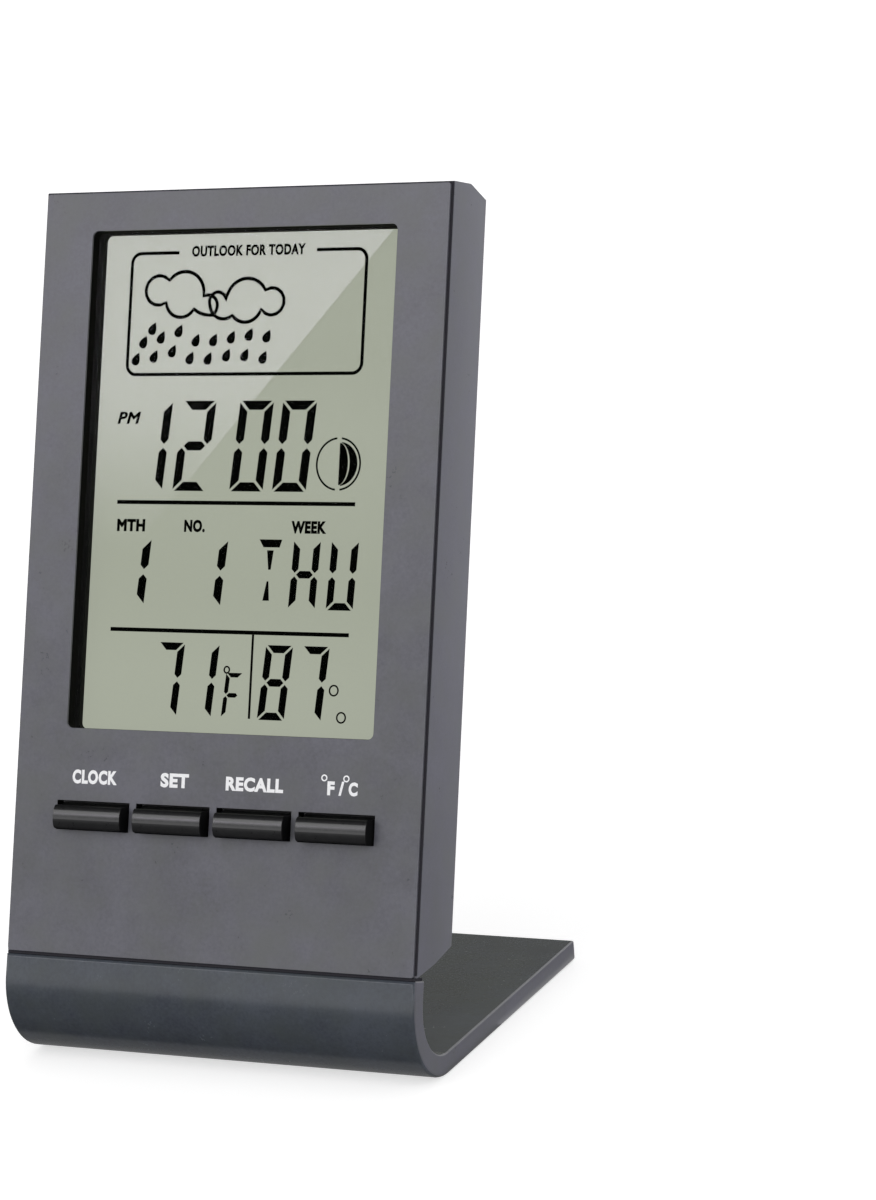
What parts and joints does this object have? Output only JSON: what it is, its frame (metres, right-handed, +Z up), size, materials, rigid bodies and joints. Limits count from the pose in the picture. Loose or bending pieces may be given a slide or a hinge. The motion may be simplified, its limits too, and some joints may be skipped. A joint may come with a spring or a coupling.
{
  "type": "thermo-hygrometer",
  "caption": "Desk thermo-hygrometer: a leaning head with a display window and push buttons, hinged on a bent foot so that it folds flat, with a sliding battery door.",
  "frame": {"origin": "on the ground under the middle of the object, where its foot rests", "axes": "+Z up, +Y to the rear, +X to the right of someone who reads the display"},
  "size_m": [0.0704, 0.0638, 0.1324],
  "materials": {
    "case": "fine matt grain, dark grey",
    "stand": "fine matt grain, a little darker than the case",
    "button": "satin black",
    "window": "clear polished acrylic",
    "holder": "matt black",
    "display": "grey-green liquid crystal panel with black segments",
    "foil": "matt silver foil",
    "rubber": "black and grey striped silicone",
    "board": "green solder mask",
    "resin": "black potting resin",
    "bright_metal": "nickel plated",
    "steel": "plain steel",
    "brass": "brass",
    "sensor": "off-white plastic",
    "cell": "printed steel can"
  },
  "bodies": {
    "stand": {"stand": "stand", "hinge_pin_left": "steel", "hinge_pin_right": "steel"},
    "head": {"front_bezel": "case", "rear_case": "case", "display_window": "window", "lcd_holder": "holder", "lcd_glass": "display", "lcd_reflector": "foil", "zebra_connector": "rubber", "circuit_board": "board", "controller_chip": "resin", "quartz_crystal": "bright_metal", "filter_capacitor": "brass", "reset_capacitor": "brass", "humidity_sensor": "sensor", "temperature_sensor": "resin", "alarm_buzzer": "brass", "battery_cell": "cell", "battery_spring": "bright_metal", "negative_contact": "bright_metal", "positive_contact": "bright_metal", "mode_switch": "steel", "set_switch": "steel", "memory_switch": "steel", "unit_switch": "steel", "case_screw_lower_left": "steel", "board_screw_lower_left": "steel", "case_screw_upper_left": "steel", "board_screw_upper_left": "steel", "case_screw_lower_right": "steel", "board_screw_lower_right": "steel", "case_screw_upper_right": "steel", "board_screw_upper_right": "steel"},
    "battery_door": {"battery_door": "case"},
    "mode_button": {"mode_button": "button", "mode_plunger": "sensor"},
    "set_button": {"set_button": "button", "set_plunger": "sensor"},
    "memory_button": {"memory_button": "button", "memory_plunger": "sensor"},
    "unit_button": {"unit_button": "button", "unit_plunger": "sensor"}
  },
  "joints": [
    {"name": "stand_fold", "type": "hinge", "parent": "stand", "child": "head", "pos_m": [0, -0.02512, 0.01847], "axis": [1, 0, 0], "range_deg": [-72.42, 0]},
    {"name": "battery_door_slide", "type": "slide", "parent": "head", "child": "battery_door", "axis": [0, -0.302, -0.9533], "range_m": [0, 0.013]},
    {"name": "mode_press", "type": "slide", "parent": "head", "child": "mode_button", "axis": [0, 0.9533, -0.302], "range_m": [0, 0.0006], "stiffness_N_per_m": 1000, "springref_m": -0.0003},
    {"name": "set_press", "type": "slide", "parent": "head", "child": "set_button", "axis": [0, 0.9533, -0.302], "range_m": [0, 0.0006], "stiffness_N_per_m": 1000, "springref_m": -0.0003},
    {"name": "memory_press", "type": "slide", "parent": "head", "child": "memory_button", "axis": [0, 0.9533, -0.302], "range_m": [0, 0.0006], "stiffness_N_per_m": 1000, "springref_m": -0.0003},
    {"name": "unit_press", "type": "slide", "parent": "head", "child": "unit_button", "axis": [0, 0.9533, -0.302], "range_m": [0, 0.0006], "stiffness_N_per_m": 1000, "springref_m": -0.0003}
  ]
}
